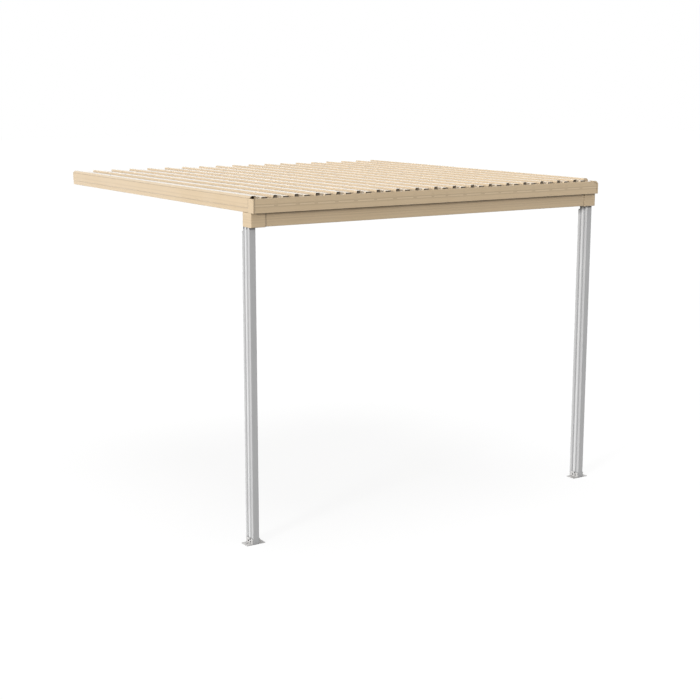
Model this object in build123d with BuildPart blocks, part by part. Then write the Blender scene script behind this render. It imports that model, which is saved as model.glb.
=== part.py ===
"""Attached patio cover: ribbed roof pans carried by a wall hanger, a front beam and two fluted posts.

Frame: X runs along the front, left to right, Y runs from the front to the house wall and Z is up.
The origin is the middle of the wall hanger's back, on the wall.
"""
import math
import os

from build123d import *

# Overall sizes
roof_width = 3048.0
roof_depth = 3076.0
head_room = 2192.5

# Sheet thicknesses and clearances
pan_sheet = 1.5
frame_sheet = 2.0
post_sheet = 2.0
bracket_sheet = 5.0
bend_radius = 3.0
lap_clearance = 0.5
end_clearance = 2.0
wall_clearance = 3.0
overrun = 20.0

# Roof pans: a hooded rib on the left edge, a low ridge midway, an upturned leg on the right edge
pan_count = 18
rib_base = 42.0
rib_crest = 29.0
rib_height = 25.0
rib_hook = 16.0
rib_return = 8.0
ridge_base = 64.0
ridge_crest = 44.0
ridge_height = 15.0
edge_margin = 10.0
edge_drop = 14.0
leg_setback = 116.0
trim_foot = 14.0

# Fascia and gutter along the front, with an end cap at each side
valley_height = 87.0
fascia_height = 96.0
gutter_depth = 68.0
gutter_lip = 12.0
gutter_hem = 8.0
gutter_ledge = 32.0
pan_setback = 48.0
cap_return = 11.0
cap_flat = 16.0
cap_bevel_width = 22.0
cap_bevel_height = 18.0

# Side fascias
side_flange = 26.0
side_step = 3.0
side_step_height = 34.0

# Wall hanger
hanger_top_flange = 60.0
hanger_bottom_flange = 32.0
lag_hole_radius = 4.5
lag_spacing = 406.4
lag_margin = 40.0

# Beam and its end caps
beam_height = 97.5
beam_depth = 115.0
beam_setback = 29.0
beam_corner = 4.0
beam_cap_wall = 3.5
beam_cap_corner = 6.0
beam_cap_round = 2.5
beam_cap_length = 110.0

# Posts and their foot brackets
post_width = 49.0
post_depth = 101.0
post_setback = 60.0
post_inset = 1.5
post_corner = 4.0
post_notch_height = 31.0
flute_width = 17.0
flute_depth = 9.0
flute_floor_share = 0.4
flute_offset = 20.0
bracket_leg = 47.0
bracket_rise = 41.0
bracket_depth = 82.0
anchor_hole_radius = 5.5
anchor_offset = 24.0

# Levels and places that follow from the sizes above
left_side = -roof_width / 2
right_side = roof_width / 2
front = -roof_depth
hanger_height = valley_height - pan_sheet - frame_sheet
hanger_top = hanger_height / 2
hanger_bottom = -hanger_height / 2
pan_underside = hanger_top
valley = pan_underside + pan_sheet
crest = valley + rib_height
fascia_bottom = hanger_bottom - frame_sheet
fascia_top = fascia_bottom + fascia_height
beam_bottom = fascia_bottom - beam_height
ground = beam_bottom - head_room
gutter_back = front + gutter_depth
rib_pitch = (roof_width - rib_base - 2 * edge_margin) / pan_count
first_rib = left_side + edge_margin
rib_lean = (rib_base - rib_crest) / 2
lean_per_height = rib_lean / rib_height
lap = pan_sheet + lap_clearance
lap_shift = lap * math.hypot(rib_height, rib_lean) / rib_height
edge_run = edge_margin + rib_lean
edge_foot = crest - edge_drop
side_length = roof_depth - wall_clearance - gutter_depth - end_clearance
flange_notch = side_flange + end_clearance
from_wall = Plane.XZ.offset(wall_clearance)

os.makedirs("parts", exist_ok=True)


def bent_sheet(plane, face_line, thickness, side, bend=bend_radius):
    """Section, on plane, of a sheet whose outer face follows face_line, with rounded or sharp bends."""
    with BuildSketch(plane) as section:
        with BuildLine():
            if bend:
                FilletPolyline(*face_line, radius=bend)
            else:
                Polyline(*face_line)
            offset(amount=thickness, side=side, closed=True, kind=Kind.INTERSECTION)
        make_face()
    return section.sketch


def hooded_rib(left):
    """Points of a rib's outer face, from the tip of its hook over the crest to the valley."""
    return [
        (left + rib_lean - rib_hook * lean_per_height, crest - rib_hook),
        (left + rib_lean, crest),
        (left + rib_lean + rib_crest, crest),
        (left + rib_base, valley),
    ]


def upturned_leg(left):
    """Points of the leg that stands under the hood of the rib at left, one lap inside its wall."""
    tip = left + lap_shift + (rib_height - lap) * lean_per_height
    return [(left + lap_shift, valley), (tip, crest - lap), (tip + rib_return, crest - lap)]


def low_ridge(middle):
    """Points of the low ridge's outer face, from valley to valley."""
    return [
        (middle - ridge_base / 2, valley),
        (middle - ridge_crest / 2, valley + ridge_height),
        (middle + ridge_crest / 2, valley + ridge_height),
        (middle + ridge_base / 2, valley),
    ]


def stepped_wall(edge, inward):
    """Points of a side fascia's outer face, from its bottom flange to above the step."""
    return [
        (edge + inward * side_flange, fascia_bottom),
        (edge + inward * side_step, fascia_bottom),
        (edge + inward * side_step, fascia_bottom + side_step_height - side_step),
        (edge, fascia_bottom + side_step_height),
    ]


# Roof pans, interlocked hood over leg, with the legs cut back over the gutter
for number in range(pan_count):
    rib_left = first_rib + number * rib_pitch
    next_left = rib_left + rib_pitch
    ridge_middle = (rib_left + rib_base + next_left) / 2
    rib_line = hooded_rib(rib_left)
    if number == 0:
        rib_line[0] = (left_side, edge_foot)
    pan_line = rib_line + low_ridge(ridge_middle) + upturned_leg(next_left)
    with BuildPart() as roof_pan:
        extrude(
            bent_sheet(from_wall, pan_line, pan_sheet, Side.RIGHT),
            amount=roof_depth - wall_clearance - pan_setback,
        )
        with BuildSketch(Plane.XY.offset(valley)):
            with Locations((next_left, front)):
                Rectangle(rib_base, leg_setback, align=(Align.MIN, Align.MIN))
        extrude(amount=rib_height, mode=Mode.SUBTRACT)
    pan_name = f"roof_pan_{number + 1:02d}"
    roof_pan.part.label = pan_name
    export_step(roof_pan.part, f"parts/{pan_name}.step")

# Edge trim: the last rib, hooked over the last pan's leg, with a foot on the right side fascia
last_rib = first_rib + pan_count * rib_pitch
trim_line = hooded_rib(last_rib)[:-1] + [
    (right_side, edge_foot),
    (right_side, pan_underside),
    (right_side - trim_foot, pan_underside),
]
with BuildPart() as roof_edge_trim:
    extrude(
        bent_sheet(from_wall, trim_line, pan_sheet, Side.RIGHT),
        amount=roof_depth - wall_clearance - leg_setback,
    )
roof_edge_trim.part.label = "roof_edge_trim"
export_step(roof_edge_trim.part, "parts/roof_edge_trim.step")

# Left side fascia: a stepped wall that leans in under the first rib's hood
edge_lap = lap * math.hypot(edge_run, edge_drop) / edge_run
edge_tip = left_side + (edge_drop + edge_lap - lap) * edge_run / edge_drop
left_line = stepped_wall(left_side, 1) + [
    (left_side, edge_foot - edge_lap),
    (edge_tip, crest - lap),
    (edge_tip + rib_return, crest - lap),
]
with BuildPart() as side_fascia_left:
    extrude(bent_sheet(from_wall, left_line, frame_sheet, Side.RIGHT), amount=side_length)
side_fascia_left.part.label = "side_fascia_left"
export_step(side_fascia_left.part, "parts/side_fascia_left.step")

# Right side fascia: the same wall, with a flange under the edge trim's foot
right_line = stepped_wall(right_side, -1) + [
    (right_side, pan_underside),
    (right_side - side_flange, pan_underside),
]
with BuildPart() as side_fascia_right:
    extrude(bent_sheet(from_wall, right_line, frame_sheet, Side.LEFT), amount=side_length)
side_fascia_right.part.label = "side_fascia_right"
export_step(side_fascia_right.part, "parts/side_fascia_right.step")

# Front fascia: a gutter whose back wall carries the pans on a ledge, notched beside the side fascias
fascia_face = front + frame_sheet
gutter_half = roof_width / 2 - frame_sheet
gutter_line = [
    (fascia_face + gutter_lip, fascia_top - gutter_hem),
    (fascia_face + gutter_lip, fascia_top),
    (fascia_face, fascia_top),
    (fascia_face, fascia_bottom),
    (gutter_back, fascia_bottom),
    (gutter_back, pan_underside - frame_sheet),
    (gutter_back + gutter_ledge, pan_underside - frame_sheet),
]
cap_top = fascia_top + frame_sheet
bevel_line = [
    (right_side, fascia_bottom),
    (right_side, cap_top - cap_bevel_height),
    (right_side - cap_bevel_width, cap_top),
    (right_side - cap_bevel_width - cap_flat, cap_top),
]
at_front = Plane.XZ.offset(-front)
at_gutter_back = Plane.XZ.offset(-gutter_back)
with BuildPart() as front_fascia:
    extrude(
        bent_sheet(Plane.YZ.offset(-gutter_half), gutter_line, frame_sheet, Side.LEFT, bend=0),
        amount=2 * gutter_half,
    )
    for cut_depth, cut_side in ((frame_sheet, Side.LEFT), (overrun, Side.RIGHT)):
        extrude(
            bent_sheet(at_gutter_back, bevel_line, cut_depth, cut_side, bend=0),
            amount=gutter_depth,
            mode=Mode.SUBTRACT,
        )
    with BuildSketch(Plane.XY.offset(pan_underside)):
        with Locations((left_side, gutter_back), (right_side, gutter_back)):
            Rectangle(2 * flange_notch, gutter_ledge, align=(Align.CENTER, Align.MIN))
    extrude(amount=-frame_sheet, mode=Mode.SUBTRACT)
front_fascia.part.label = "front_fascia"
export_step(front_fascia.part, "parts/front_fascia.step")

# Left end cap of the front fascia: a plate with a return lapped over the fascia's face
left_cap_line = [
    (left_side, gutter_back),
    (left_side, front),
    (left_side + cap_return, front),
]
with BuildPart() as fascia_end_cap_left:
    extrude(
        bent_sheet(Plane.XY.offset(fascia_bottom), left_cap_line, frame_sheet, Side.LEFT, bend=0),
        amount=fascia_height,
    )
fascia_end_cap_left.part.label = "fascia_end_cap_left"
export_step(fascia_end_cap_left.part, "parts/fascia_end_cap_left.step")

# Right end cap of the front fascia: bevelled along its outer top edge, with the same return
with BuildPart() as fascia_end_cap_right:
    extrude(
        bent_sheet(at_gutter_back, bevel_line, frame_sheet, Side.LEFT, bend=0),
        amount=gutter_depth,
    )
    extrude(
        bent_sheet(at_front, bevel_line, cap_return, Side.LEFT, bend=0),
        amount=-frame_sheet,
    )
fascia_end_cap_right.part.label = "fascia_end_cap_right"
export_step(fascia_end_cap_right.part, "parts/fascia_end_cap_right.step")

# Wall hanger: a channel lagged to the wall, with the pans' back ends on its top flange
hanger_half = roof_width / 2 - side_step - frame_sheet - end_clearance
lag_count = int(2 * (hanger_half - lag_margin) / lag_spacing) + 1
hanger_line = [
    (-hanger_bottom_flange, hanger_bottom),
    (0, hanger_bottom),
    (0, hanger_top),
    (-hanger_top_flange, hanger_top),
]
with BuildPart() as wall_hanger:
    extrude(
        bent_sheet(Plane.YZ.offset(-hanger_half), hanger_line, frame_sheet, Side.LEFT),
        amount=2 * hanger_half,
    )
    with BuildSketch(Plane.XY.offset(hanger_top)):
        with Locations((left_side, 0), (right_side, 0)):
            Rectangle(2 * flange_notch, hanger_top_flange, align=(Align.CENTER, Align.MAX))
    extrude(amount=-frame_sheet, mode=Mode.SUBTRACT)
    with BuildSketch(Plane.XZ):
        with GridLocations(lag_spacing, 0, lag_count, 1):
            Circle(lag_hole_radius)
    extrude(amount=frame_sheet, mode=Mode.SUBTRACT)
wall_hanger.part.label = "wall_hanger"
export_step(wall_hanger.part, "parts/wall_hanger.step")

# Front beam: a rounded box section under the gutter
beam_front = front + beam_setback
beam_back = beam_front + beam_depth
beam_half = roof_width / 2 - beam_cap_wall
beam_middle = ((beam_front + beam_back) / 2, (beam_bottom + beam_cap_wall + fascia_bottom) / 2)
with BuildPart() as front_beam:
    with BuildSketch(Plane.YZ.offset(-beam_half)):
        with Locations(beam_middle):
            RectangleRounded(beam_depth - 2 * beam_cap_wall, beam_height - beam_cap_wall, beam_corner)
        offset(amount=-frame_sheet, mode=Mode.SUBTRACT)
    extrude(amount=2 * beam_half)
front_beam.part.label = "front_beam"
export_step(front_beam.part, "parts/front_beam.step")

# Beam end caps: sleeves round the front, bottom and back of the beam, closed at the end
sleeve_line = [
    (beam_front, fascia_bottom),
    (beam_front, beam_bottom),
    (beam_back, beam_bottom),
    (beam_back, fascia_bottom),
]
for cap_name, cap_end, inward in (
    ("beam_end_cap_left", left_side, 1),
    ("beam_end_cap_right", right_side, -1),
):
    at_cap_end = Plane.YZ.offset(cap_end)
    with BuildPart() as beam_end_cap:
        extrude(
            bent_sheet(at_cap_end, sleeve_line, beam_cap_wall, Side.LEFT, bend=beam_cap_corner),
            amount=inward * beam_cap_length,
        )
        with BuildSketch(at_cap_end):
            with BuildLine():
                FilletPolyline(*sleeve_line, radius=beam_cap_corner)
                Line(sleeve_line[-1], sleeve_line[0])
            make_face()
        extrude(amount=inward * beam_cap_wall)
        end_plate = beam_end_cap.faces().sort_by(Axis.X)[0 if inward > 0 else -1]
        fillet(end_plate.edges(), radius=beam_cap_round)
    beam_end_cap.part.label = cap_name
    export_step(beam_end_cap.part, f"parts/{cap_name}.step")

# Posts, fluted on both wide sides and notched behind the beam, with an angle bracket on either side
# of each foot
post_front = front + post_setback
post_middle = post_front + post_depth / 2
post_notch_depth = max(post_front + post_depth - beam_back, 0) + end_clearance
bracket_back = post_front + bracket_depth
at_bracket_back = Plane.XZ.offset(-bracket_back)
post_places = {
    "left": left_side + post_inset + post_width / 2,
    "right": right_side - post_inset - post_width / 2,
}
for post_side, post_x in post_places.items():
    with BuildPart() as post:
        with BuildSketch(Plane.XY.offset(ground)):
            with Locations((post_x, post_middle)):
                RectangleRounded(post_width, post_depth, post_corner)
            for outward in (-1, 1):
                face = post_x + outward * post_width / 2
                floor = face - outward * flute_depth
                for flute_y in (post_middle - flute_offset, post_middle + flute_offset):
                    with BuildLine():
                        Polyline(
                            (face, flute_y - flute_width / 2),
                            (floor, flute_y - flute_width * flute_floor_share / 2),
                            (floor, flute_y + flute_width * flute_floor_share / 2),
                            (face, flute_y + flute_width / 2),
                            close=True,
                        )
                    make_face(mode=Mode.SUBTRACT)
            offset(amount=-post_sheet, kind=Kind.INTERSECTION, mode=Mode.SUBTRACT)
        extrude(amount=head_room)
        with BuildSketch(Plane.XY.offset(beam_bottom)):
            with Locations((post_x, post_front + post_depth)):
                Rectangle(post_width, post_notch_depth, align=(Align.CENTER, Align.MAX))
        extrude(amount=-post_notch_height, mode=Mode.SUBTRACT)
    post_name = f"post_{post_side}"
    post.part.label = post_name
    export_step(post.part, f"parts/{post_name}.step")

    for outward in (-1, 1):
        face = post_x + outward * post_width / 2
        bracket_line = [
            (face, ground + bracket_rise),
            (face, ground),
            (face + outward * bracket_leg, ground),
        ]
        outer_side = Side.LEFT if outward > 0 else Side.RIGHT
        with BuildPart() as foot_bracket:
            extrude(
                bent_sheet(at_bracket_back, bracket_line, bracket_sheet, outer_side),
                amount=bracket_depth,
            )
            with BuildSketch(Plane.XY.offset(ground)):
                with Locations((face + outward * anchor_offset, bracket_back - bracket_depth / 2)):
                    Circle(anchor_hole_radius)
            extrude(amount=bracket_sheet, mode=Mode.SUBTRACT)
        facing = "outer" if (outward < 0) == (post_side == "left") else "inner"
        bracket_name = f"foot_bracket_{post_side}_{facing}"
        foot_bracket.part.label = bracket_name
        export_step(foot_bracket.part, f"parts/{bracket_name}.step")
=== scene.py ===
"""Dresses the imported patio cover: enamelled and grey finishes, screws, plugs, floor, lamps and camera."""

import logging
import math
from dataclasses import dataclass, replace
from enum import Enum
from typing import Any

import bpy
import numpy as np
from mathutils import Matrix, Vector

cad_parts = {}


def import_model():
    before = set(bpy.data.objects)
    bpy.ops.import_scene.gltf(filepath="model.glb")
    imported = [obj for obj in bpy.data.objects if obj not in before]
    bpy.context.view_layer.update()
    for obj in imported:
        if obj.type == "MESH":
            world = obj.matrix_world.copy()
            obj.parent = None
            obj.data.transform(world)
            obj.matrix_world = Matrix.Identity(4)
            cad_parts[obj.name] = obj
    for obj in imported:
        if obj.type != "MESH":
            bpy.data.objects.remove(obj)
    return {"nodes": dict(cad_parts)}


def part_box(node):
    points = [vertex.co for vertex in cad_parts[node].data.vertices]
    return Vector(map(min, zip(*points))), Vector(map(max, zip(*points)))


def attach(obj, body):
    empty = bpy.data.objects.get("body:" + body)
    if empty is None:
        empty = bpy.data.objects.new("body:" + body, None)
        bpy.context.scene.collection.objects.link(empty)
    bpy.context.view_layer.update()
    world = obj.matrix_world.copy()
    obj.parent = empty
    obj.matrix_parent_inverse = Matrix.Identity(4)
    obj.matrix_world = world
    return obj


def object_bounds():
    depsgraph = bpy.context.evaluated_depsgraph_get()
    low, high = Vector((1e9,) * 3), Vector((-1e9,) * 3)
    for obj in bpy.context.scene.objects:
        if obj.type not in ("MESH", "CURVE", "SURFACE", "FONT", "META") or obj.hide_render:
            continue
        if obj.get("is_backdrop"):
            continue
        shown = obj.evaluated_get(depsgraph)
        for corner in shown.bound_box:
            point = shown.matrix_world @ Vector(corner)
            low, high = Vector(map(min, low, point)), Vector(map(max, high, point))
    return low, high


LOG = logging.getLogger("patio_cover")
BODY = "root"
MM = 0.001

Colour = tuple[float, float, float, float]
Nodes = dict[str, bpy.types.Object]
Bends = tuple[tuple[float, float], ...]
Stops = tuple[tuple[float, float], ...]
Socket = bpy.types.NodeSocket


class Slot(Enum):
    """The record's material slots."""

    ROOF = "roof_enamel"
    FRAME = "frame_enamel"
    POST = "post_zinc"


class GrainRun(Enum):
    """Which way a finish's streaks run."""

    LENGTHWISE = "along X on front faces, along Y on side faces"
    ROOF_FALL = "along Y"
    UPRIGHT = "along Z"


@dataclass(frozen=True)
class Layer:
    """A layer of noise in a finish.

    Attributes:
        scale: How fine it is.
        detail: How many finer levels it has.
        band: The values between which it goes from none to full.
    """

    scale: float
    detail: float
    band: tuple[float, float]


class Graph:
    """Adds the nodes of one node tree and links them."""

    def __init__(self, tree: bpy.types.NodeTree) -> None:
        """Keeps the tree that the nodes go into."""
        self.tree = tree

    def add(
        self,
        kind: str,
        settings: dict[str, Any] | None = None,
        inputs: dict[str | int, Any] | None = None,
    ) -> bpy.types.Node:
        """Adds one node.

        Args:
            kind: The node's type name, without its ShaderNode prefix.
            settings: Values of the node's own properties.
            inputs: Values, or outputs of other nodes to link, by socket name or number.

        Returns:
            The new node.
        """
        node = self.tree.nodes.new(kind if kind.startswith("Node") else "ShaderNode" + kind)
        for name, value in (settings or {}).items():
            setattr(node, name, value)
        for name, value in (inputs or {}).items():
            if isinstance(value, Socket):
                self.tree.links.new(value, node.inputs[name])
            else:
                node.inputs[name].default_value = value
        return node

    def group(self, tree: bpy.types.NodeTree, inputs: dict[str | int, Any]) -> Any:
        """Places a shader group and returns its outputs."""
        return self.add("Group", {"node_tree": tree}, inputs).outputs

    def give(self, result: bpy.types.Node, values: dict[str, Socket]) -> None:
        """Links values to a group's named outputs."""
        for name, value in values.items():
            self.tree.links.new(value, result.inputs[name])

    def math(self, operation: str, first: Any, second: Any = 0.0, third: Any = 0.0) -> Socket:
        """Adds a Math node and returns its result."""
        node = self.add("Math", {"operation": operation}, {0: first, 1: second, 2: third})
        return node.outputs[0]

    def band(
        self, value: Any, start: float, end: float, to_start: float = 0.0, to_end: float = 1.0
    ) -> Socket:
        """Adds a smooth, clamped Map Range node.

        Args:
            value: What it reads.
            start: The value that gives to_start.
            end: The value that gives to_end.
            to_start: The first end of the result.
            to_end: The other end of the result.

        Returns:
            The mapped value.
        """
        settings = {"interpolation_type": "SMOOTHSTEP"}
        inputs = {"Value": value, "From Min": start, "From Max": end, "To Min": to_start, "To Max": to_end}
        return self.add("MapRange", settings, inputs).outputs["Result"]

    def blend(self, share: Any, first: Any, second: Any) -> Socket:
        """Adds a colour Mix node and returns its colour."""
        return self.add("Mix", {"data_type": "RGBA"}, {0: share, 6: first, 7: second}).outputs[2]

    def tint(self, colour: Any, tone: Colour, mask: Any, share: float) -> Socket:
        """Blends a tone into a colour where a mask is, as far as a share says, and returns the colour."""
        return self.blend(self.math("MULTIPLY", mask, share), colour, tone)

    def noise(self, vector: Any, scale: float, detail: float) -> Socket:
        """Adds a 3-D Noise texture and returns its value, which lies about 0.5."""
        inputs = {"Vector": vector, "Scale": scale, "Detail": detail}
        return self.add("TexNoise", None, inputs).outputs["Fac"]

    def layer(self, vector: Any, layer: Layer) -> Socket:
        """Adds a layer of noise and returns how strongly it shows."""
        return self.band(self.noise(vector, layer.scale, layer.detail), *layer.band)

    def wander(self, along: Any, scale: float) -> Socket:
        """Adds a 1-D Noise texture along one length and returns its value, which lies about 0.5."""
        inputs = {"W": along, "Scale": scale, "Detail": 1.0}
        return self.add("TexNoise", {"noise_dimensions": "1D"}, inputs).outputs["Fac"]

    def ramp(self, value: Any, stops: Stops) -> Socket:
        """Adds a grey Color Ramp.

        Args:
            value: What the ramp reads, from 0 to 1.
            stops: Place and grey level of each stop, in order.

        Returns:
            The ramp's colour.
        """
        node = self.add("ValToRGB", None, {"Fac": value})
        elements = node.color_ramp.elements
        for place, _ in stops[2:]:
            elements.new(place)
        for element, (place, level) in zip(elements, stops):
            element.position = place
            element.color = (level, level, level, 1.0)
        return node.outputs["Color"]


def new_material(name: str) -> tuple[bpy.types.Material, Graph]:
    """Makes an empty material.

    Args:
        name: The material's name.

    Returns:
        The material and a graph on it.
    """
    material = bpy.data.materials.new(name)
    material.use_nodes = True
    material.node_tree.nodes.clear()
    return material, Graph(material.node_tree)


def new_object(name: str, points: np.ndarray, faces: list[list[int]]) -> bpy.types.Object:
    """Puts points and faces into a mesh, and its object into the scene at the origin.

    Args:
        name: The object's name.
        points: The mesh's points, one row each, in metres.
        faces: Numbers of each face's points, in order.

    Returns:
        The new object.
    """
    mesh = bpy.data.meshes.new(name)
    mesh.from_pydata(points.tolist(), [], faces)
    piece = bpy.data.objects.new(name, mesh)
    bpy.context.scene.collection.objects.link(piece)
    return piece


# Grain: its layers, and how far and how finely it drifts.
GRAIN_LAYERS = {
    "Band": Layer(1.0, 2.0, (0.40, 0.66)),
    "Line": Layer(3.6, 2.0, (0.45, 0.70)),
    "Fleck": Layer(2.3, 1.0, (0.66, 0.74)),
}
GRAIN_DRIFT = 1.6
GRAIN_DRIFT_SCALE = 0.35

# Pressed lines: how far across the face they sway, how many dashes a metre has and where their gaps are.
SWAY = 0.05
SWAY_SCALE = 1.7
DASHES = 6.3
DASH_DRIFT = 0.8
DASH_DRIFT_SCALE = 2.3
DASH_GAP = (0.78, 0.84)

# Weather: its layers, and how fine the orange peel is.
WEATHER_LAYERS = {"Cloud": Layer(3.0, 4.0, (0.35, 0.65)), "Speck": Layer(260.0, 2.0, (0.62, 0.75))}
PEEL_SCALE = 420.0

# Worn edges with a painted highlight: cosines between rounded and flat normals where they start and are
# full, and their patches.
EDGE_COSINES = (0.995, 0.86)
EDGE_SAMPLES = 6
WEAR_PATCHES = Layer(45.0, 3.0, (0.42, 0.62))

# Painted shade in crevices, under overhangs and in joints: how open a place is where it starts and is full,
# from 1 in the open to 0 in a closed crevice.
SHADE_OPENNESS = (0.97, 0.15)
SHADE_SAMPLES = 8
JOINT_OPENNESS = (0.95, 0.60)
JOINT_SAMPLES = 6
JOINT_REACH = 7 * MM


class Effects:
    """The shader groups that the finishes share."""

    def __init__(self) -> None:
        """Builds each group once."""
        self.grain = self._grain()
        self.lines = self._lines()
        self.weather = self._weather()
        self.wear_and_highlight = self._wear_and_highlight()
        self.grime_and_shade = self._crevice_shade()

    @staticmethod
    def _new_group(
        name: str, takes: dict[str, str], gives: dict[str, str]
    ) -> tuple[bpy.types.NodeTree, Graph, Any, bpy.types.Node]:
        """Makes an empty group with named sockets.

        Args:
            name: The group's name.
            takes: Socket types of the inputs, by name.
            gives: Socket types of the outputs, by name.

        Returns:
            The group, a graph on it, what it takes, and its output node.
        """
        tree = bpy.data.node_groups.new(name, "ShaderNodeTree")
        for socket, kind in takes.items():
            tree.interface.new_socket(socket, in_out="INPUT", socket_type="NodeSocket" + kind)
        for socket, kind in gives.items():
            tree.interface.new_socket(socket, in_out="OUTPUT", socket_type="NodeSocket" + kind)
        graph = Graph(tree)
        return tree, graph, graph.add("NodeGroupInput").outputs, graph.add("NodeGroupOutput")

    def _grain(self) -> bpy.types.NodeTree:
        """Builds the fine grain: wandering bands, thin lines and a few dark flecks along the stretched axis.

        Returns:
            The group.
        """
        gives = {"Band": "Float", "Line": "Float", "Fleck": "Float"}
        tree, graph, source, result = self._new_group("fine_grain", {"Vector": "Vector"}, gives)
        vector = source["Vector"]
        inputs = {"Vector": vector, "Scale": GRAIN_DRIFT_SCALE, "Detail": 1.0}
        drift = graph.add("TexNoise", None, inputs).outputs["Color"]
        drift = graph.add("VectorMath", {"operation": "SCALE"}, {0: drift, "Scale": GRAIN_DRIFT}).outputs[0]
        bent = graph.add("VectorMath", {"operation": "ADD"}, {0: vector, 1: drift}).outputs[0]
        graph.give(result, {name: graph.layer(bent, layer) for name, layer in GRAIN_LAYERS.items()})
        return tree

    def _lines(self) -> bpy.types.NodeTree:
        """Builds the pressed lines: the share across a face, made to sway, and the gaps between dashes.

        Returns:
            The group.
        """
        takes = {"Share": "Float", "Along": "Float"}
        gives = {"Share": "Float", "Gap": "Float"}
        tree, graph, source, result = self._new_group("pressed_lines", takes, gives)
        along = source["Along"]
        sway = graph.math("MULTIPLY_ADD", graph.wander(along, SWAY_SCALE), SWAY, -SWAY / 2)
        even = graph.math("MULTIPLY", along, DASHES)
        turn = graph.math("MULTIPLY_ADD", graph.wander(along, DASH_DRIFT_SCALE), DASH_DRIFT, even)
        graph.give(result, {
            "Share": graph.math("ADD", source["Share"], sway),
            "Gap": graph.band(graph.math("FRACT", turn), *DASH_GAP)})
        return tree

    def _weather(self) -> bpy.types.NodeTree:
        """Builds the weather: cloudy tone, fine specks of dust and the orange peel of a sprayed coat.

        Returns:
            The group.
        """
        gives = {"Cloud": "Float", "Speck": "Float", "Peel": "Float"}
        tree, graph, source, result = self._new_group("weather", {"Vector": "Vector"}, gives)
        vector = source["Vector"]
        graph.give(result, {name: graph.layer(vector, layer) for name, layer in WEATHER_LAYERS.items()})
        graph.give(result, {"Peel": graph.noise(vector, PEEL_SCALE, 1.0)})
        return tree

    def _wear_and_highlight(self) -> bpy.types.NodeTree:
        """Builds the worn edges and painted edge highlight: where the rounded normal leaves the flat one,
        broken up by noise.

        Returns:
            The group.
        """
        takes = {"Vector": "Vector", "Radius": "Float"}
        gives = {"Mask": "Float", "Normal": "Vector"}
        tree, graph, source, result = self._new_group("edge_wear_and_highlight", takes, gives)
        bevel = graph.add("Bevel", {"samples": EDGE_SAMPLES}, {"Radius": source["Radius"]})
        rounded = bevel.outputs["Normal"]
        flat = graph.add("NewGeometry").outputs["True Normal"]
        cosine = graph.add("VectorMath", {"operation": "DOT_PRODUCT"}, {0: rounded, 1: flat})
        edge = graph.band(cosine.outputs["Value"], *EDGE_COSINES)
        patch = graph.layer(source["Vector"], WEAR_PATCHES)
        graph.give(result, {"Mask": graph.math("MULTIPLY", edge, patch), "Normal": rounded})
        return tree

    def _crevice_shade(self) -> bpy.types.NodeTree:
        """Builds the crevice shade: painted shade under overhangs and in joints, darker where a place is
        more closed in.

        Returns:
            The group.
        """
        tree, graph, source, result = self._new_group(
            "crevice_shade", {"Reach": "Float"}, {"Soft": "Float", "Joint": "Float"})
        wide = graph.add("AmbientOcclusion", {"samples": SHADE_SAMPLES}, {"Distance": source["Reach"]})
        tight = graph.add("AmbientOcclusion", {"samples": JOINT_SAMPLES}, {"Distance": JOINT_REACH})
        start, end = SHADE_OPENNESS
        soft = graph.add("MapRange", None, {"Value": wide.outputs["AO"], "From Min": start, "From Max": end})
        joint = graph.band(tight.outputs["AO"], *JOINT_OPENNESS)
        graph.give(result, {"Soft": soft.outputs["Result"], "Joint": joint})
        return tree


# Tone across a face, from its lower to its upper or front to back edge: under EVEN is darker, over it paler.
EVEN = 0.5
PLAIN: Stops = ()
FASCIA_LINES: Stops = (
    (0.00, 0.50), (0.05, 0.60), (0.11, 0.58), (0.15, 0.50), (0.345, 0.48), (0.38, 0.14), (0.42, 0.14),
    (0.45, 0.48), (0.475, 0.50), (0.485, 0.95), (0.515, 0.95), (0.525, 0.50), (0.545, 0.40), (0.56, 0.0),
    (0.605, 0.0), (0.63, 0.40), (0.67, 0.60), (0.76, 0.60), (0.82, 0.48), (0.90, 0.55), (1.00, 0.50))
BEAM_LINES: Stops = (
    (0.00, 0.62), (0.05, 0.58), (0.11, 0.40), (0.14, 0.42), (0.18, 0.52), (0.25, 0.52), (0.33, 0.22),
    (0.37, 0.22), (0.41, 0.50), (0.45, 0.52), (0.51, 0.15), (0.55, 0.15), (0.59, 0.50), (0.62, 0.50),
    (0.67, 0.20), (0.70, 0.20), (0.75, 0.45), (0.80, 0.30), (0.84, 0.45), (1.00, 0.50))
SIDE_LINES: Stops = (
    (0.00, 0.55), (0.06, 0.58), (0.12, 0.45), (0.20, 0.46), (0.25, 0.35), (0.29, 0.40), (0.34, 0.50),
    (0.40, 0.56), (0.46, 0.52), (0.50, 0.18), (0.54, 0.18), (0.58, 0.50), (0.66, 0.54), (0.78, 0.52),
    (0.84, 0.22), (0.90, 0.20), (1.00, 0.30))
# Post sides: the dark bands over the flutes are painted shade and the pale band between them a painted
# highlight.
POST_FLUTE_SHADING: Stops = (
    (0.00, 0.50), (0.03, 0.58), (0.18, 0.55), (0.25, 0.22), (0.33, 0.22), (0.40, 0.65), (0.46, 0.98),
    (0.56, 0.98), (0.62, 0.65), (0.69, 0.25), (0.77, 0.25), (0.83, 0.65), (0.97, 0.70), (1.00, 0.50))

# Cream enamel: its coats, its darker and paler tones, its painted sheen edge on, and the colour of its dirt
# and painted shade.
CREAM = (0.745, 0.560, 0.340, 1)
CREAM_ROOF = (0.725, 0.582, 0.405, 1)
CREAM_BEAM = (0.725, 0.545, 0.331, 1)
CREAM_DARK = (0.585, 0.437, 0.262, 1)
CREAM_PALE = (0.83, 0.66, 0.44, 1)
PAINTED_SHEEN = (0.97, 0.925, 0.855, 1)
BROWN_GRIME_AND_SHADE = (0.16, 0.12, 0.075, 1)
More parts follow.
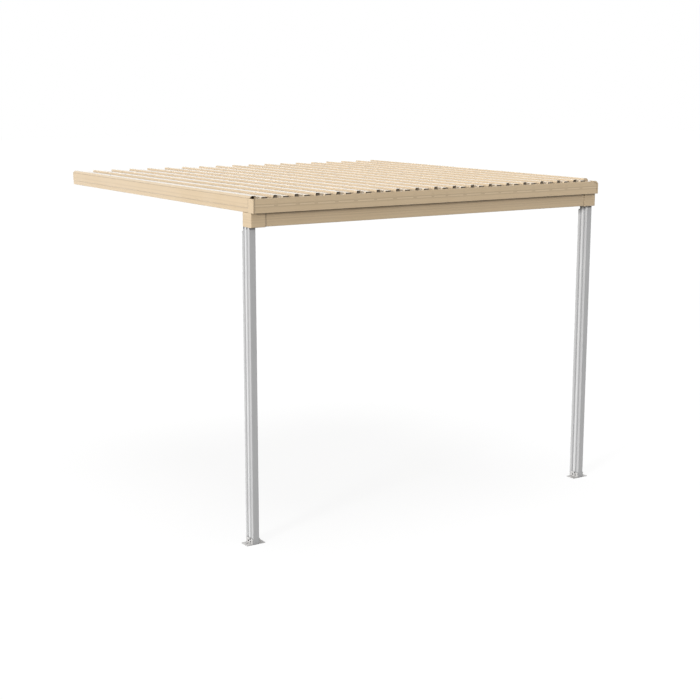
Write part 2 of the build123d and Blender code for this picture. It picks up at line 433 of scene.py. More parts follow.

# How a sheet's finish is put together: shares of its tones, the slopes that get painted shade, the painted
# sheen seen edge on, and the painted shadow below top edges.
SIDE_FACING = 0.5
FINE_SHARE = 0.4
GAP_STREAK_SHARE = 0.9
GAP_GRIME_SHARE = 0.3
SPECK_SHARE = 0.06
# Painted shade on sloped faces.
SLOPE_RISE = 0.75
SLOPE_SPAN = 0.1
# Painted sheen seen edge on.
SHEEN_BLEND = 0.5
SHEEN_FACING = (0.78, 0.92)
# Painted shadow below top edges: how ragged its lower end is and where it fades.
TOP_SHADOW_RAGGED_SHARE = 0.2
TOP_SHADOW_FADE_SHARES = (1.3, 0.7)

# Relief of a sheet: shares of its embossing's depth, how strongly it shows, and how much rougher it is under
# the soft painted shade.
STREAK_RELIEF_SHARE = -0.5
PEEL_RELIEF_SHARE = 0.06
BUMP_STRENGTH = 0.6
SHADE_ROUGHNESS = 0.5


@dataclass(frozen=True)
class Surface:
    """What a sheet's material reads at each point.

    Attributes:
        graph: The material's graph.
        place: Object coordinates.
        axes: The same, split into X, Y and Z.
        faces_side: 1 on faces that look along X.
        low: Lowest corner of the node that the finish is measured on, in metres.
        high: Its highest corner, in metres.
    """

    graph: Graph
    place: Socket
    axes: Any
    faces_side: Socket
    low: Vector
    high: Vector


@dataclass(frozen=True)
class SheetFinish:
    """A coated sheet: colour, pressed lines, grain, weather, worn edges with a painted highlight, dirt, and
    painted shade, sheen and shadow.

    Attributes:
        name: The material's name.
        coat: Colour of the coat.
        streak: Colour of the darker lines and bands, and of the painted shade on sloped faces.
        pale: Colour of the paler lines, and of worn edges with their painted highlight.
        grime_and_shade: Colour of flecks, specks and dirt, and of the painted shade in crevices and the
            painted shadow below top edges.
        run: Which way the streaks run.
        lines: The pressed lines across the face.
        lines_axis: The axis that the pressed lines follow one another on.
        line_share: How strongly they show.
        dash_share: How strongly their gaps break the pale lines into dashes.
        streak_share: How strongly the grain's bands show.
        fleck_share: How strongly the grain's flecks show.
        along: Streaks in a metre, along the grain.
        across: Streaks in a metre, across the grain.
        depth: Depth of the embossing, in metres.
        rough: Lowest and highest roughness.
        gloss: Weight of the clear coat.
        gloss_rough: Roughness of the clear coat.
        edge_radius: Radius of the rounded edges, in metres.
        worn_and_highlight_share: How strongly worn edges, partly a painted highlight, show.
        cloud_share: How strongly the cloudy tone shows.
        soft_share: How strongly the painted shade under overhangs shows.
        joint_share: How strongly the painted shade in joints shows.
        reach: How far the painted shade under overhangs spreads, in metres.
        painted_sheen_share: How far the unshaded coat is painted paler where it is seen edge on, a painted
            sheen.
        slope_shade_share: How strongly sloped faces, which look sideways and up, take the streak colour as
            painted shade.
        top_shadow_share: How strongly the painted shadow below the upper edge of front and back faces shows.
        top_shadow_depth: How far that painted shadow reaches down, in metres.
    """

    name: str
    coat: Colour
    streak: Colour
    pale: Colour
    grime_and_shade: Colour
    run: GrainRun
    lines: Stops = PLAIN
    lines_axis: str = "Z"
    line_share: float = 0.85
    dash_share: float = 1.0
    streak_share: float = 0.3
    fleck_share: float = 0.05
    along: float = 1.0
    across: float = 60.0
    depth: float = 0.1 * MM
    rough: tuple[float, float] = (0.38, 0.50)
    gloss: float = 0.9
    gloss_rough: float = 0.15
    edge_radius: float = 2.5 * MM
    worn_and_highlight_share: float = 0.25
    cloud_share: float = 0.10
    soft_share: float = 0.85
    joint_share: float = 0.5
    reach: float = 60 * MM
    painted_sheen_share: float = 0.0
    slope_shade_share: float = 0.0
    top_shadow_share: float = 0.0
    top_shadow_depth: float = 13 * MM

    def _stretched(self, surface: Surface) -> Socket:
        """Stretches Object coordinates along the grain.

        Args:
            surface: What the material reads.

        Returns:
            The stretched coordinates.
        """
        graph = surface.graph
        along, across = self.along, self.across
        runs = {
            GrainRun.LENGTHWISE: (along, across, across),
            GrainRun.ROOF_FALL: (across, along, across),
            GrainRun.UPRIGHT: (across, across, along),
        }
        mapped = graph.add("Mapping", None, {"Vector": surface.place, "Scale": runs[self.run]})
        if self.run is not GrainRun.LENGTHWISE:
            return mapped.outputs["Vector"]
        side_run = graph.add("Mapping", None, {"Vector": surface.place, "Scale": runs[GrainRun.ROOF_FALL]})
        inputs = {0: surface.faces_side, 4: mapped.outputs["Vector"], 5: side_run.outputs["Vector"]}
        return graph.add("Mix", {"data_type": "VECTOR"}, inputs).outputs[1]

    def _pressed(self, surface: Surface, effects: Effects, colour: Socket) -> tuple[Socket, Socket]:
        """Draws the pressed lines: dark ones, and pale ones that gaps break into dashes.

        Args:
            surface: What the material reads.
            effects: The shared shader groups.
            colour: The coat's colour so far.

        Returns:
            The colour with the lines, and how dark the lines are.
        """
        graph, axes = surface.graph, surface.axes
        axis = "XYZ".index(self.lines_axis)
        start = graph.math("SUBTRACT", axes[self.lines_axis], surface.low[axis])
        share = graph.math("DIVIDE", start, surface.high[axis] - surface.low[axis])
        inputs = {0: surface.faces_side, 2: axes["X"], 3: axes["Y"]}
        along = graph.add("Mix", {"data_type": "FLOAT"}, inputs).outputs[0]
        lines = graph.group(effects.lines, {"Share": share, "Along": along})
        level = graph.ramp(lines["Share"], self.lines)
        dark = graph.math("MULTIPLY", graph.band(level, EVEN, 0.0), self.line_share)
        pale = graph.math("MULTIPLY", graph.band(level, EVEN, 1.0), self.line_share)
        gap = graph.math("MULTIPLY", pale, graph.math("MULTIPLY", lines["Gap"], self.dash_share))
        colour = graph.blend(graph.math("MULTIPLY_ADD", gap, GAP_STREAK_SHARE, dark), colour, self.streak)
        colour = graph.blend(graph.math("SUBTRACT", pale, gap), colour, self.pale)
        return graph.tint(colour, self.grime_and_shade, gap, GAP_GRIME_SHARE), dark

    def _shadowed_below_top(self, surface: Surface, cloud: Socket, colour: Socket) -> Socket:
        """Paints a shadow on front and back faces below their upper edge, with a ragged lower end.

        Args:
            surface: What the material reads.
            cloud: The cloudy tone, which makes the stain ragged.
            colour: The coat's colour so far.

        Returns:
            The stained colour.
        """
        graph, top = surface.graph, surface.high[2]
        ragged = graph.math("MULTIPLY_ADD", cloud, -TOP_SHADOW_RAGGED_SHARE * self.top_shadow_depth, surface.axes["Z"])
        top_shadow = graph.band(ragged, *(top - share * self.top_shadow_depth for share in TOP_SHADOW_FADE_SHARES))
        front = graph.math("MULTIPLY_ADD", surface.faces_side, -self.top_shadow_share, self.top_shadow_share)
        return graph.blend(graph.math("MULTIPLY", top_shadow, front), colour, self.grime_and_shade)

    def build(self, effects: Effects, node: str) -> bpy.types.Material:
        """Makes the material.

        Args:
            effects: The shared shader groups.
            node: The CAD node whose box the pressed lines and the painted shadow are measured on.

        Returns:
            The material.
        """
        material, graph = new_material(self.name)
        place = graph.add("TexCoord").outputs["Object"]
        axes = graph.add("SeparateXYZ", None, {0: place}).outputs
        normal = graph.add("SeparateXYZ", None, {0: graph.add("NewGeometry").outputs["True Normal"]}).outputs
        faces_side = graph.math("GREATER_THAN", graph.math("ABSOLUTE", normal["X"]), SIDE_FACING)
        surface = Surface(graph, place, axes, faces_side, *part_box(node))
        grain = graph.group(effects.grain, {"Vector": self._stretched(surface)})
        weather = graph.group(effects.weather, {"Vector": place})
        wear_and_highlight = graph.group(effects.wear_and_highlight, {"Vector": place, "Radius": self.edge_radius})
        # Painted shade where a place is closed in: under overhangs and in joints.
        grime_and_shade = graph.group(effects.grime_and_shade, {"Reach": self.reach})
        unshaded = graph.math("SUBTRACT", 1.0, grime_and_shade["Soft"])

        broad = graph.math("MULTIPLY", grain["Band"], 1 - FINE_SHARE)
        band = graph.math("MULTIPLY_ADD", grain["Line"], FINE_SHARE, broad)
        colour = graph.tint(self.coat, self.streak, band, self.streak_share)
        height = graph.math("MULTIPLY", band, STREAK_RELIEF_SHARE)
        if self.lines:
            colour, dark = self._pressed(surface, effects, colour)
            height = graph.math("SUBTRACT", height, dark)
        # Painted shade on sloped faces that look sideways and up.
        if self.slope_shade_share:
            slope = graph.math("COMPARE", normal["Z"], SLOPE_RISE, SLOPE_SPAN)
            colour = graph.tint(colour, self.streak, slope, self.slope_shade_share)
        for tone, mask, share in (
            (self.grime_and_shade, grain["Fleck"], self.fleck_share),
            (self.streak, weather["Cloud"], self.cloud_share),
            # Worn edges, partly a painted highlight.
            (self.pale, wear_and_highlight["Mask"], self.worn_and_highlight_share),
            (self.grime_and_shade, weather["Speck"], SPECK_SHARE),
            # Painted shade under overhangs and in joints.
            (self.grime_and_shade, grime_and_shade["Soft"], self.soft_share),
            (self.grime_and_shade, grime_and_shade["Joint"], self.joint_share),
        ):
            colour = graph.tint(colour, tone, mask, share)
        # Painted sheen: the coat is painted paler where it is seen edge on.
        if self.painted_sheen_share:
            facing = graph.add("LayerWeight", None, {"Blend": SHEEN_BLEND}).outputs["Facing"]
            sheen = graph.band(facing, *SHEEN_FACING, 0.0, self.painted_sheen_share)
            colour = graph.blend(graph.math("MULTIPLY", sheen, unshaded), colour, PAINTED_SHEEN)
        # Painted shadow below the upper edge of front and back faces.
        if self.top_shadow_share:
            colour = self._shadowed_below_top(surface, weather["Cloud"], colour)

        rough = graph.band(weather["Cloud"], 0.0, 1.0, *self.rough)
        # Rougher under the soft painted shade.
        rough = graph.math("MULTIPLY_ADD", grime_and_shade["Soft"], SHADE_ROUGHNESS, rough)
        height = graph.math("ADD", height, graph.math("MULTIPLY", weather["Peel"], PEEL_RELIEF_SHARE))
        bump = graph.add("Bump", None, {
            "Strength": BUMP_STRENGTH, "Distance": self.depth, "Height": height, "Normal": wear_and_highlight["Normal"]})
        # The clear coat is left off under the painted shade.
        shader = graph.add("BsdfPrincipled", None, {
            "Base Color": colour, "Roughness": rough, "Normal": bump.outputs["Normal"],
            "Coat Weight": graph.math("MULTIPLY", unshaded, self.gloss), "Coat Roughness": self.gloss_rough})
        graph.add("OutputMaterial", None, {"Surface": shader.outputs["BSDF"]})
        return material


# Dull patches and orange peel on small fittings.
DULL_PATCHES = Layer(220.0, 3.0, (0.42, 0.62))
FITTING_BUMP_STRENGTH = 0.3
FITTING_BUMP_DEPTH = 0.1 * MM


@dataclass(frozen=True)
class FittingFinish:
    """A small fitting, such as a plated or painted screw head or a foam plug.

    Attributes:
        name: The material's name.
        plate: Colour of its surface.
        dull: Colour where it has dulled.
        metallic: How metallic it is.
        rough: Lowest and highest roughness.
    """

    name: str
    plate: Colour
    dull: Colour
    metallic: float
    rough: tuple[float, float]

    def build(self, effects: Effects) -> bpy.types.Material:
        """Makes the material.

        Args:
            effects: The shared shader groups.

        Returns:
            The material.
        """
        material, graph = new_material(self.name)
        place = graph.add("TexCoord").outputs["Object"]
        dull = graph.layer(place, DULL_PATCHES)
        weather = graph.group(effects.weather, {"Vector": place})
        bump = graph.add("Bump", None, {
            "Strength": FITTING_BUMP_STRENGTH, "Distance": FITTING_BUMP_DEPTH, "Height": weather["Peel"]})
        shader = graph.add("BsdfPrincipled", None, {
            "Base Color": graph.blend(dull, self.plate, self.dull),
            "Roughness": graph.band(dull, 0.0, 1.0, *self.rough),
            "Metallic": self.metallic,
            "Normal": bump.outputs["Normal"]})
        graph.add("OutputMaterial", None, {"Surface": shader.outputs["BSDF"]})
        return material


PLAIN_ENAMEL = SheetFinish(
    name="plain enamel", coat=CREAM, streak=CREAM_DARK, pale=CREAM_PALE, grime_and_shade=BROWN_GRIME_AND_SHADE,
    run=GrainRun.LENGTHWISE)
ROOF_ENAMEL = replace(
    PLAIN_ENAMEL, name="roof enamel", coat=CREAM_ROOF, run=GrainRun.ROOF_FALL, streak_share=0.10,
    fleck_share=0.02, across=90.0, depth=0.02 * MM, gloss=0.5, edge_radius=1.5 * MM, soft_share=0.6,
    joint_share=0.2, painted_sheen_share=0.7, slope_shade_share=0.65)
FASCIA_ENAMEL = replace(
    PLAIN_ENAMEL, name="fascia enamel", lines=FASCIA_LINES, streak_share=0.25, along=0.6,
    depth=0.3 * MM, joint_share=0.8)
SIDE_ENAMEL = replace(
    PLAIN_ENAMEL, name="side enamel", lines=SIDE_LINES, line_share=0.5, streak_share=0.20, along=0.6)
BEAM_ENAMEL = replace(
    PLAIN_ENAMEL, name="beam enamel", coat=CREAM_BEAM, lines=BEAM_LINES, line_share=0.75,
    streak_share=0.35, along=0.6, depth=0.3 * MM, joint_share=0.9)
CAP_ENAMEL = replace(
    PLAIN_ENAMEL, name="cap enamel", lines=BEAM_LINES, line_share=0.55, streak_share=0.22, along=1.5,
    edge_radius=3 * MM)
CORNER_ENAMEL = replace(
    PLAIN_ENAMEL, name="corner enamel", streak_share=0.20, along=1.5, edge_radius=3 * MM)
# Posts: painted shade and highlight across their sides, and a painted shadow of the beam below their tops.
POST_GREY = SheetFinish(
    name="satin grey", coat=(0.56, 0.56, 0.56, 1), streak=(0.46, 0.46, 0.465, 1),
    pale=(0.80, 0.80, 0.80, 1), grime_and_shade=(0.07, 0.072, 0.08, 1), run=GrainRun.UPRIGHT, lines=POST_FLUTE_SHADING,
    lines_axis="Y", dash_share=0.0, streak_share=0.20, across=110.0, gloss=0.6, edge_radius=1 * MM,
    worn_and_highlight_share=0.1, soft_share=0.25, joint_share=0.7, top_shadow_share=0.7, top_shadow_depth=15 * MM)
BRACKET_GREY = SheetFinish(
    name="bracket grey", coat=(0.62, 0.61, 0.60, 1), streak=(0.52, 0.51, 0.50, 1),
    pale=(0.72, 0.70, 0.67, 1), grime_and_shade=(0.10, 0.09, 0.08, 1), run=GrainRun.UPRIGHT, streak_share=0.25,
    gloss=0.5, edge_radius=1 * MM, worn_and_highlight_share=0.2, soft_share=0.2, joint_share=0.15, reach=30 * MM)
PAINTED_SCREW = FittingFinish(
    name="painted screw", plate=CREAM, dull=CREAM_DARK, metallic=0.0, rough=(0.40, 0.55))
ZINC_SCREW = FittingFinish(
    name="zinc screw", plate=(0.75, 0.70, 0.63, 1), dull=(0.58, 0.54, 0.49, 1), metallic=0.2,
    rough=(0.50, 0.65))
DARK_SCREW = FittingFinish(
    name="dark screw", plate=(0.07, 0.065, 0.065, 1), dull=(0.04, 0.04, 0.04, 1), metallic=0.4,
    rough=(0.35, 0.55))
FOAM = FittingFinish(
    name="closed cell foam", plate=(0.20, 0.165, 0.125, 1), dull=(0.15, 0.125, 0.095, 1), metallic=0.0,
    rough=(0.80, 0.95))


@dataclass(frozen=True)
class ScrewHead:
    """A screw head as rings of one outline, from the sheet to its top.

    Attributes:
        radii: Radius of each ring, in millimetres.
        heights: Height of each ring above the sheet, in millimetres.
        hexagon: How far each ring is a hexagon, from 0, round, to 1.
        sides: Points round a ring, a multiple of six.
    """

    radii: tuple[float, ...]
    heights: tuple[float, ...]
    hexagon: tuple[float, ...]
    sides: int = 12

    def mesh(self, name: str, seats: np.ndarray, up: np.ndarray) -> bpy.types.Object:
        """Makes one mesh of a head on every seat.

        Ring i, point k lies at angle a = 2 pi k / sides and radius R_i (1 - h_i + h_i H(a)), where
        H(a) = cos 30 / cos((a mod 60) - 30) is a hexagon's outline, and at height Z_i along up. The
        last point is the pole on the axis.

        Args:
            name: The object's name.
            seats: Places of the heads, one row each, in metres.
            up: The direction that the heads point in.

        Returns:
            The new object.
        """
        radii, heights, hexagon = (np.array(values) for values in (self.radii, self.heights, self.hexagon))
        angle = 2 * np.pi * np.arange(self.sides) / self.sides
        outline = np.cos(np.pi / 6) / np.cos(angle % (np.pi / 3) - np.pi / 6)
        reach = radii[:, None] * (1 + hexagon[:, None] * (outline[None, :] - 1))
        across = np.cross(up, np.roll(up, 1))
        beside = np.cross(up, across)
        ring = reach[..., None] * (np.cos(angle)[:, None] * across + np.sin(angle)[:, None] * beside)
        head = (ring + heights[:, None, None] * up).reshape(-1, 3)
        head = np.vstack([head, heights[-1] * up]) * MM
        points = (seats[:, None, :] + head[None, :, :]).reshape(-1, 3)
        below = np.arange(len(radii) - 1)[:, None] * self.sides
        above = below + self.sides
        here = np.arange(self.sides)[None, :]
        after = (here + 1) % self.sides
        quads = np.stack([below + here, below + after, above + after, above + here], -1)
        top = (len(radii) - 1) * self.sides
        pole = np.full(self.sides, len(head) - 1)
        fans = np.stack([top + here[0], top + after[0], pole], -1)
        shift = (np.arange(len(seats)) * len(head))[:, None, None]
        faces = (quads.reshape(1, -1, 4) + shift).reshape(-1, 4).tolist()
        faces += (fans.reshape(1, -1, 3) + shift).reshape(-1, 3).tolist()
        return new_object(name, points, faces)


HEX_HEAD = ScrewHead(
    radii=(7.0, 7.0, 5.4, 4.8, 4.8, 3.9), heights=(0.0, 1.2, 2.0, 2.0, 7.0, 8.0),
    hexagon=(0.0, 0.0, 0.0, 1.0, 1.0, 1.0))
LAG_HEAD = ScrewHead(
    radii=(11.0, 11.0, 8.0, 7.5, 7.5, 6.2), heights=(0.0, 1.6, 2.0, 2.0, 7.0, 8.0),
    hexagon=(0.0, 0.0, 0.0, 1.0, 1.0, 1.0))
PAN_HEAD = ScrewHead(
    radii=(6.0, 6.0, 5.3, 3.9, 2.0), heights=(0.0, 0.9, 2.2, 3.2, 3.7), hexagon=(0.0, 0.0, 0.0, 0.0, 0.0))


@dataclass(frozen=True)
class Strip:
    """A straight piece along Y that closes an opening of the roof.

    Attributes:
        name: The piece's name.
        bends: Its section, across and up from its place, clockwise as seen from the front, in millimetres.
        run: Its front and back from its place, in millimetres, negative in front of it.
    """

    name: str
    bends: Bends
    run: tuple[float, float]

    def mesh(self, places: np.ndarray) -> bpy.types.Object:
        """Makes one mesh of a straight prism at every place.

        The section is drawn once at the front and once at the back, and quads join the two round the rim.

        Args:
            places: Where the sections are measured from, one row each, in metres.

        Returns:
            The new object.
        """
        across, up = np.array(self.bends).T * MM
        ends = [np.stack([across, np.full_like(across, end * MM), up], -1) for end in self.run]
        points = (places[:, None, :] + np.concatenate(ends)).reshape(-1, 3)
        count = len(self.bends)
        shift = (np.arange(len(places)) * 2 * count)[:, None, None]
        here = np.arange(count)
        after = (here + 1) % count
        rim = np.stack([here, after, after + count, here + count], -1)
        lids = np.stack([here[::-1], here + count])
        faces = (rim + shift).reshape(-1, 4).tolist() + (lids + shift).reshape(-1, count).tolist()
        return new_object(self.name, points, faces)


@dataclass
class Assembly:
    """A sub-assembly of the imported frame.

    Attributes:
        nodes: The frame's nodes, by name.
        effects: The shared shader groups.
    """

    nodes: Nodes
    effects: Effects

    def named(self, start: str) -> list[str]:
        """Lists the nodes whose names have the given start, in order."""
        return sorted(name for name in self.nodes if name.startswith(start))

    def coat(self, names: list[str], finish: SheetFinish) -> None:
        """Gives a finish to CAD nodes.

        Args:
            names: The nodes' names. The finish is measured on the first one.
            finish: Their finish.
        """
        material = finish.build(self.effects, names[0])
        for name in names:
            self.nodes[name].data.materials.clear()
            self.nodes[name].data.materials.append(material)
            LOG.info("%s wears %s", name, material.name)

    @staticmethod
    def place(piece: bpy.types.Object, material: bpy.types.Material, slot: Slot) -> None:
        """Gives a new piece its material and body.

        Args:
            piece: The piece.
            material: Its material.
            slot: The record's slot that it takes its finish from. Not used.
        """
        piece.data.materials.append(material)
        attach(piece, BODY)
        LOG.info("%s has %d faces", piece.name, len(piece.data.polygons))


@dataclass
class Roof(Assembly):
    """The roof pans, the edge trim, the strips that close them and the screws that hold them down.

    Attributes:
        front_inset: From a pan's front end to its front screw, in metres.
        front_offsets: From a pan's left edge to its front screw, in metres.
        back_inset: From a pan's back end to its back screws, in metres.
        back_offsets: From a pan's left edge to its back screws, in metres.
        rib_height: From a pan's valleys to its crest, in metres.
        trim_closure: Plate on the edge trim's front end, from that end's upper right corner.
        corner_flashing: Flashing beside the gutter in front of the trim, from the same corner.
        rib_plugs: Foam in the ribs, from a pan's left edge at its valley and front end.
        ridge_plugs: Foam in the low ridges, from the same place.
        rib_leg_strips: Sheet below the ribs' hooks over the gutter, from the same place.
    """

    front_inset: float = 22 * MM
    front_offsets: tuple[float, ...] = (61.5 * MM,)
    back_inset: float = 30 * MM
    back_offsets: tuple[float, ...] = (54.5 * MM, 148.5 * MM)
    rib_height: float = 25 * MM
    trim_closure: Strip = Strip(
        "trim_closure",
        ((-49.7, -25.0), (-49.7, -16.0), (-45.5, 0.0), (-16.5, 0.0), (0.0, -14.0), (0.0, -25.0)),
        (-1.6, -0.1))
    corner_flashing: Strip = Strip(
        "corner_flashing", ((-48.4, -26.4), (-48.4, -25.1), (-3.0, -25.1), (-3.0, -26.4)), (-30.0, -0.2))
    rib_plugs: Strip = Strip(
        "rib_plugs", ((1.8, 0.3), (7.3, 21.5), (31.5, 21.5), (36.6, 0.3)), (4.5, 34.0))
    ridge_plugs: Strip = Strip(
        "ridge_plugs", ((71.0, -1.2), (80.6, 13.2), (122.6, 13.2), (132.2, -1.2)), (4.5, 34.0))
    rib_leg_strips: Strip = Strip(
        "rib_leg_strips", ((-0.3, 0.2), (4.9, 20.0), (6.4, 20.0), (1.2, 0.2)), (4.0, 67.5))

    def dress(self) -> None:
        """Finishes the pans and the trim."""
        self.coat(self.named("roof_"), ROOF_ENAMEL)

    def build(self) -> None:
        """Screws the pans down and closes the trim and the ribs."""
        valleys = self._valleys()
        self._screws(valleys)
        self._strips(valleys)

    def _valleys(self) -> np.ndarray:
        """Finds the front end of each pan's left edge, at the level of its valleys.

        The pans lie one pitch apart. The first one reaches further left, over the side fascia, so its place
        is worked back from the second.

        Returns:
            The places, one row each, in metres.
        """
        pans = self.named("roof_pan_")
        lows, highs = (np.array(corners) for corners in zip(*(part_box(pan) for pan in pans)))
        pitch = (lows[-1, 0] - lows[1, 0]) / (len(pans) - 2)
        lefts = lows[1, 0] + pitch * (np.arange(len(pans)) - 1)
        level = highs[0, 2] - self.rib_height
        return np.stack([lefts, np.full_like(lefts, lows[0, 1]), np.full_like(lefts, level)], -1)

    def _screws(self, valleys: np.ndarray) -> None:
        """Puts one screw near every pan's front end and two near its back end.

        Args:
            valleys: Front end of each pan's left edge, at the level of its valleys.
        """
        low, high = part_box("roof_pan_01")
        rows = {
            "front": (self.front_inset, self.front_offsets, ZINC_SCREW),
            "back": (high[1] - low[1] - self.back_inset, self.back_offsets, PAINTED_SCREW),
        }
        for end, (inset, offsets, finish) in rows.items():
            steps = np.array([(offset, inset, 0.0) for offset in offsets])
            seats = (valleys[:, None, :] + steps).reshape(-1, 3)
            piece = HEX_HEAD.mesh(f"roof_screws_{end}", seats, np.array([0.0, 0.0, 1.0]))
            self.place(piece, finish.build(self.effects), Slot.ROOF)

    def _strips(self, valleys: np.ndarray) -> None:
        """Closes the edge trim, the corner in front of it, the low ridges and all ribs but the first.

        Args:
            valleys: Front end of each pan's left edge, at the level of its valleys.
        """
        low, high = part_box("roof_edge_trim")
        trim_corner = np.array([[high[0], low[1], high[2]]])
        enamel = self.nodes["roof_edge_trim"].data.materials[0]
        foam = FOAM.build(self.effects)
        for strip, places, material in (
            (self.trim_closure, trim_corner, enamel),
            (self.corner_flashing, trim_corner, enamel),
            (self.rib_plugs, valleys[1:], foam),
            (self.ridge_plugs, valleys, foam),
            (self.rib_leg_strips, valleys[1:], enamel),
        ):
            self.place(strip.mesh(places), material, Slot.ROOF)


@dataclass
class Frame(Assembly):
    """The fascias, the beam, their end caps, the wall hanger and its lag screws.

    Attributes:
        lag_spacing: Between neighbouring lag screws, in metres.
        lag_count: How many lag screws hold the hanger.
        hanger_sheet: Thickness of the hanger's sheet, in metres.
    """

    lag_spacing: float = 406.4 * MM
    lag_count: int = 8
    hanger_sheet: float = 2 * MM

    def dress(self) -> None:
        """Finishes the fascias, the beam, the caps and the hanger."""
        self.coat(["front_fascia"], FASCIA_ENAMEL)
        self.coat(["side_fascia_left", "side_fascia_right", "wall_hanger"], SIDE_ENAMEL)
        self.coat(["front_beam"], BEAM_ENAMEL)
        self.coat(self.named("beam_end_cap_"), CAP_ENAMEL)
        self.coat(self.named("fascia_end_cap_"), CORNER_ENAMEL)

    def build(self) -> None:
        """Puts a lag screw through each hole of the wall hanger."""
        places = self.lag_spacing * (np.arange(self.lag_count) - (self.lag_count - 1) / 2)
        seats = np.stack([places, np.full_like(places, -self.hanger_sheet), np.zeros_like(places)], -1)
        piece = LAG_HEAD.mesh("hanger_lag_screws", seats, np.array([0.0, -1.0, 0.0]))
        self.place(piece, ZINC_SCREW.build(self.effects), Slot.FRAME)


@dataclass
class Posts(Assembly):
    """The posts, their foot brackets and the brackets' screws.

    Attributes:
        seats: Back from the bracket's front end and up from the ground, in millimetres, of each screw.
        bracket_sheet: Thickness of the bracket's legs, in metres.
    """

    seats: tuple[tuple[float, float], ...] = ((27.0, 18.0), (57.0, 20.0), (32.0, 35.5))
    bracket_sheet: float = 5 * MM

    def dress(self) -> None:
        """Finishes the posts and brackets."""
        self.coat(self.named("post_"), POST_GREY)
        self.coat(self.named("foot_bracket_"), BRACKET_GREY)

    def build(self) -> None:
        """Puts three screws through each bracket's upright leg into its post."""
        material = DARK_SCREW.build(self.effects)
        back, rise = np.array(self.seats).T * MM
        for name in self.named("foot_bracket_"):
            low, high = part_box(name)
            post = "post_left" if "_left_" in name else "post_right"
            outward = math.copysign(1.0, low[0] + high[0] - sum(corner[0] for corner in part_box(post)))
            face = low[0] + self.bracket_sheet if outward > 0 else high[0] - self.bracket_sheet
            seats = np.stack([np.full_like(back, face), low[1] + back, low[2] + rise], -1)
            piece = PAN_HEAD.mesh(f"{name}_screws", seats, np.array([outward, 0.0, 0.0]))
            self.place(piece, material, Slot.POST)


@dataclass(frozen=True)
class Lamp:
    """A far, soft lamp.

    Attributes:
        name: The lamp's name.
        strength: Its strength.
        source: Where it comes from.
        spread: Angle that it fills, in degrees.
    """

    name: str
    strength: float
    source: tuple[float, float, float]
    spread: float

    def build(self) -> None:
        """Makes the lamp."""
        data = bpy.data.lights.new(self.name, "SUN")
        data.energy = self.strength
        data.angle = math.radians(self.spread)
        light = bpy.data.objects.new(self.name, data)
        light.rotation_mode = "QUATERNION"
        light.rotation_quaternion = Vector(self.source).to_track_quat("Z", "Y")
        bpy.context.scene.collection.objects.link(light)


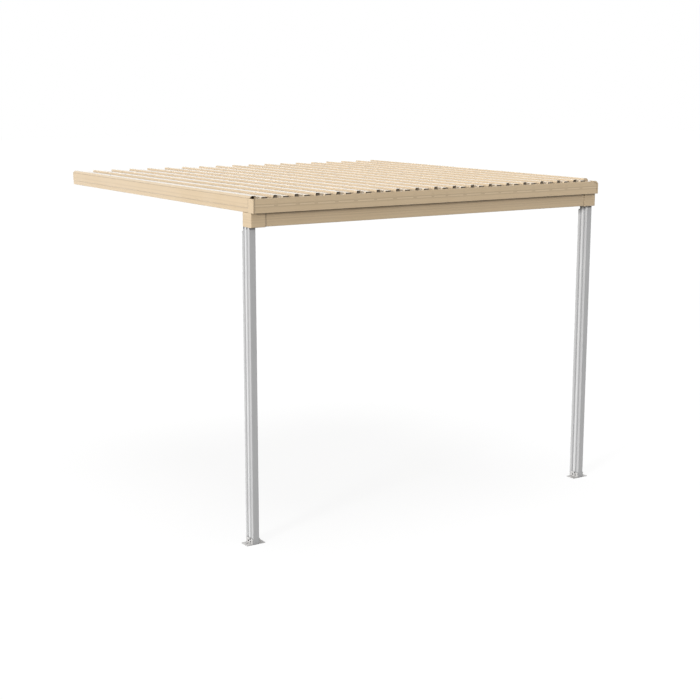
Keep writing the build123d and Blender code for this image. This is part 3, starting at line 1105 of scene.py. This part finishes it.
@dataclass
class Studio:
    """The floor, the white world, the lamps and the camera.

    Attributes:
        eye: The camera's place, in metres.
        yaw: Its turn from +Y towards +X, in degrees.
        pitch: Its downward tilt, in degrees.
        roll: Its roll, in degrees.
        lens: Its focal length, in millimetres.
        sensor: Width of its sensor, in millimetres.
        sight: How far it sees, in metres.
        lamps: The lamps.
        sky: Strength of the world's light.
        floor_reach: Half the floor's side, in metres.
        floor_grey: How pale the floor looks where it is lit.
        floor_bounce: How much light the floor throws back.
        floor_glow: How much of the floor's look is plain white rather than lit.
        glow_strength: Strength of that plain white.
    """

    eye: tuple[float, float, float] = (-5.909, -10.9314, 0.8165)
    yaw: float = 33.216
    pitch: float = 11.140
    roll: float = 0.062
    lens: float = 70.552
    sensor: float = 36.0
    sight: float = 200.0
    lamps: tuple[Lamp, ...] = (
        Lamp("key", 2.8, (-0.90, -0.41, 0.19), 12.0),
        Lamp("overhead", 1.3, (0.0, 0.0, 1.0), 40.0),
    )
    sky: float = 0.30
    floor_reach: float = 60.0
    floor_grey: float = 0.95
    floor_bounce: float = 0.16
    floor_glow: float = 0.85
    glow_strength: float = 1.05

    def camera(self) -> None:
        """Makes the camera: right, up and back are the columns of its turn, rolled about the view."""
        yaw, pitch, roll = (math.radians(angle) for angle in (self.yaw, self.pitch, self.roll))
        ahead = Vector((math.sin(yaw) * math.cos(pitch), math.cos(yaw) * math.cos(pitch), -math.sin(pitch)))
        right = Vector((math.cos(yaw), -math.sin(yaw), 0))
        up = right.cross(ahead)
        rolled = right * math.cos(roll) + up * math.sin(roll)
        upright = up * math.cos(roll) - right * math.sin(roll)
        data = bpy.data.cameras.new("camera")
        data.sensor_width = self.sensor
        data.lens = self.lens
        data.clip_end = self.sight
        camera = bpy.data.objects.new("camera", data)
        turn = Matrix((rolled, upright, -ahead)).transposed().to_4x4()
        camera.matrix_world = Matrix.Translation(self.eye) @ turn
        bpy.context.scene.collection.objects.link(camera)
        bpy.context.scene.camera = camera

    @staticmethod
    def _seen_directly(graph: Graph) -> Socket:
        """Finds the rays that show the background: camera, glossy and transmission rays.

        Args:
            graph: The graph of the world or the floor.

        Returns:
            1 for those rays and 0 for the others.
        """
        path = graph.add("LightPath").outputs
        glossy = graph.math("MAXIMUM", path["Is Camera Ray"], path["Is Glossy Ray"])
        return graph.math("MAXIMUM", glossy, path["Is Transmission Ray"])

    def world(self) -> None:
        """Makes the world: white where it is seen, and a soft sky as a light."""
        world = bpy.data.worlds.new("white studio")
        world.use_nodes = True
        world.node_tree.nodes.clear()
        graph = Graph(world.node_tree)
        strength = graph.add("MapRange", None, {
            "Value": self._seen_directly(graph), "To Min": self.sky, "To Max": 1.0}).outputs["Result"]
        sky = graph.add("Background", None, {"Color": (1, 1, 1, 1), "Strength": strength})
        graph.add("OutputWorld", None, {"Surface": sky.outputs["Background"]})
        bpy.context.scene.world = world

    def floor(self, level: float) -> None:
        """Makes the floor: a flat square at the ground, white where it is lit and grey in the shadow.

        Args:
            level: The ground's height, in metres.
        """
        side = self.floor_reach * np.array([-1.0, 1.0])
        x, y = np.meshgrid(side, side, indexing="ij")
        points = np.stack([x, y, np.full_like(x, level)], -1).reshape(-1, 3)
        floor = new_object("floor", points, [[0, 2, 3, 1]])
        material, graph = new_material("pale floor")
        seen = self._seen_directly(graph)
        bounce, grey = ((tone, tone, tone, 1) for tone in (self.floor_bounce, self.floor_grey))
        lit = graph.add("BsdfDiffuse", None, {"Color": graph.blend(seen, bounce, grey)})
        white = graph.add("Emission", None, {"Color": (1, 1, 1, 1), "Strength": self.glow_strength})
        share = graph.math("MULTIPLY", seen, self.floor_glow)
        mixed = graph.add(
            "MixShader", None, {0: share, 1: lit.outputs["BSDF"], 2: white.outputs["Emission"]})
        graph.add("OutputMaterial", None, {"Surface": mixed.outputs["Shader"]})
        floor.data.materials.append(material)
        floor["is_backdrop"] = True

    def build(self, ground: float) -> None:
        """Makes the whole studio.

        Args:
            ground: The ground's height, in metres.
        """
        bpy.context.scene.view_settings.view_transform = "Standard"
        self.camera()
        self.world()
        for lamp in self.lamps:
            lamp.build()
        self.floor(ground)


def main() -> None:
    """Dresses the frame, adds the screws, strips and studio, and sets the floor at the bottom of the
    imported model's box.
    """
    logging.basicConfig(level=logging.INFO, format="%(message)s")
    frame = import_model()
    cad_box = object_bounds()
    nodes = frame["nodes"]
    effects = Effects()
    for assembly in (Roof(nodes, effects), Frame(nodes, effects), Posts(nodes, effects)):
        assembly.dress()
        assembly.build()
    Studio().build(cad_box[0][2])


if __name__ == "__main__":
    main()
